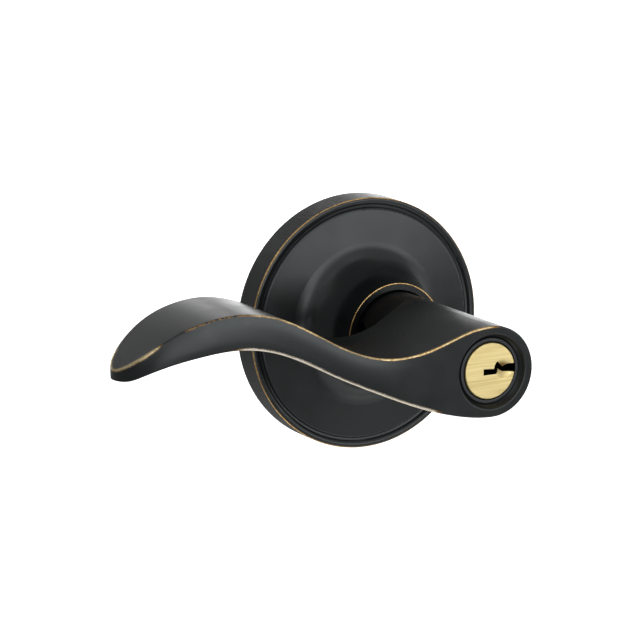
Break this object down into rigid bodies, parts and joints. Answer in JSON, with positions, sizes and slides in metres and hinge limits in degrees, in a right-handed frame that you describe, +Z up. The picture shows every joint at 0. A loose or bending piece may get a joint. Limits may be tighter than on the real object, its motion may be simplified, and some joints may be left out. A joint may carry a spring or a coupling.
{
  "type": "lever handle lockset",
  "caption": "Keyed outside lever handle: round beaded rosette, wave-shaped sprung lever on a trumpet collar, and a pin-tumbler key plug in the head.",
  "frame": {"origin": "centre of the rosette's back face, on the spindle axis, at the door's outside face", "axes": "-Y points out of the door to the user, +Y into the door, +Z up, the lever arm points to -X"},
  "size_m": [0.1245, 0.1172, 0.0666],
  "materials": {
    "bronze": "aged bronze, satin, worn to brass on the edges",
    "dark_trim": "dark satin",
    "brass": "brushed",
    "dark_steel": "blackened",
    "zinc_steel": "zinc plated",
    "steel": "plain",
    "spring_steel": "oiled spring wire",
    "bush": "natural bearing plastic",
    "housing": "dull",
    "pin_brass": "turned",
    "pin_steel": "turned"
  },
  "bodies": {
    "rose": {"rosette": "bronze", "mounting_plate": "zinc_steel", "hub_bush": "bush", "spring_cage": "zinc_steel", "cage_rivets": "steel", "through_bolt_posts": "steel", "return_spring": "spring_steel"},
    "handle": {"lever": "bronze", "spindle": "zinc_steel", "retaining_ring": "spring_steel", "spring_driver": "steel", "cylinder_housing": "housing", "chamber_cover": "brass", "plug_ring": "dark_trim", "catch_spring": "spring_steel", "pin_spring_1": "spring_steel", "pin_spring_2": "spring_steel", "pin_spring_3": "spring_steel", "pin_spring_4": "spring_steel", "pin_spring_5": "spring_steel"},
    "key_plug": {"plug": "brass", "plug_clip": "spring_steel", "tailpiece": "steel"},
    "catch_pin": {"catch": "dark_steel"},
    "key_pin_body_1": {"key_pin_1": "pin_brass"},
    "driver_pin_body_1": {"driver_pin_1": "pin_steel"},
    "key_pin_body_2": {"key_pin_2": "pin_brass"},
    "driver_pin_body_2": {"driver_pin_2": "pin_steel"},
    "key_pin_body_3": {"key_pin_3": "pin_brass"},
    "driver_pin_body_3": {"driver_pin_3": "pin_steel"},
    "key_pin_body_4": {"key_pin_4": "pin_brass"},
    "driver_pin_body_4": {"driver_pin_4": "pin_steel"},
    "key_pin_body_5": {"key_pin_5": "pin_brass"},
    "driver_pin_body_5": {"driver_pin_5": "pin_steel"}
  },
  "joints": [
    {"name": "lever_turn", "type": "hinge", "parent": "rose", "child": "handle", "pos_m": [0, 0, 0], "axis": [0, 1, 0], "range_deg": [-50, 50], "stiffness_Nm_per_rad": 1.5, "springref_deg": 2.31, "deforming": ["return_spring"]},
    {"name": "plug_turn", "type": "hinge", "parent": "handle", "child": "key_plug", "pos_m": [0, 0, 0], "axis": [0, 1, 0], "range_deg": [-90, 90]},
    {"name": "catch_press", "type": "slide", "parent": "handle", "child": "catch_pin", "axis": [0.9563, 0, -0.2924], "range_m": [0, 0.0022], "stiffness_N_per_m": 300, "springref_m": -0.002, "deforming": ["catch_spring"]},
    {"name": "key_pin_1_drop", "type": "slide", "parent": "key_plug", "child": "key_pin_body_1", "axis": [1, 0, 0], "range_m": [0, 0.0012], "stiffness_N_per_m": 30},
    {"name": "driver_pin_1_lift", "type": "slide", "parent": "handle", "child": "driver_pin_body_1", "axis": [-1, 0, 0], "range_m": [0, 0.0005], "stiffness_N_per_m": 80, "springref_m": -0.003, "deforming": ["pin_spring_1"]},
    {"name": "key_pin_2_drop", "type": "slide", "parent": "key_plug", "child": "key_pin_body_2", "axis": [1, 0, 0], "range_m": [0, 0.0012], "stiffness_N_per_m": 30},
    {"name": "driver_pin_2_lift", "type": "slide", "parent": "handle", "child": "driver_pin_body_2", "axis": [-1, 0, 0], "range_m": [0, 0.0005], "stiffness_N_per_m": 80, "springref_m": -0.003, "deforming": ["pin_spring_2"]},
    {"name": "key_pin_3_drop", "type": "slide", "parent": "key_plug", "child": "key_pin_body_3", "axis": [1, 0, 0], "range_m": [0, 0.0012], "stiffness_N_per_m": 30},
    {"name": "driver_pin_3_lift", "type": "slide", "parent": "handle", "child": "driver_pin_body_3", "axis": [-1, 0, 0], "range_m": [0, 0.0005], "stiffness_N_per_m": 80, "springref_m": -0.003, "deforming": ["pin_spring_3"]},
    {"name": "key_pin_4_drop", "type": "slide", "parent": "key_plug", "child": "key_pin_body_4", "axis": [1, 0, 0], "range_m": [0, 0.0012], "stiffness_N_per_m": 30},
    {"name": "driver_pin_4_lift", "type": "slide", "parent": "handle", "child": "driver_pin_body_4", "axis": [-1, 0, 0], "range_m": [0, 0.0005], "stiffness_N_per_m": 80, "springref_m": -0.003, "deforming": ["pin_spring_4"]},
    {"name": "key_pin_5_drop", "type": "slide", "parent": "key_plug", "child": "key_pin_body_5", "axis": [1, 0, 0], "range_m": [0, 0.0012], "stiffness_N_per_m": 30},
    {"name": "driver_pin_5_lift", "type": "slide", "parent": "handle", "child": "driver_pin_body_5", "axis": [-1, 0, 0], "range_m": [0, 0.0005], "stiffness_N_per_m": 80, "springref_m": -0.003, "deforming": ["pin_spring_5"]}
  ]
}
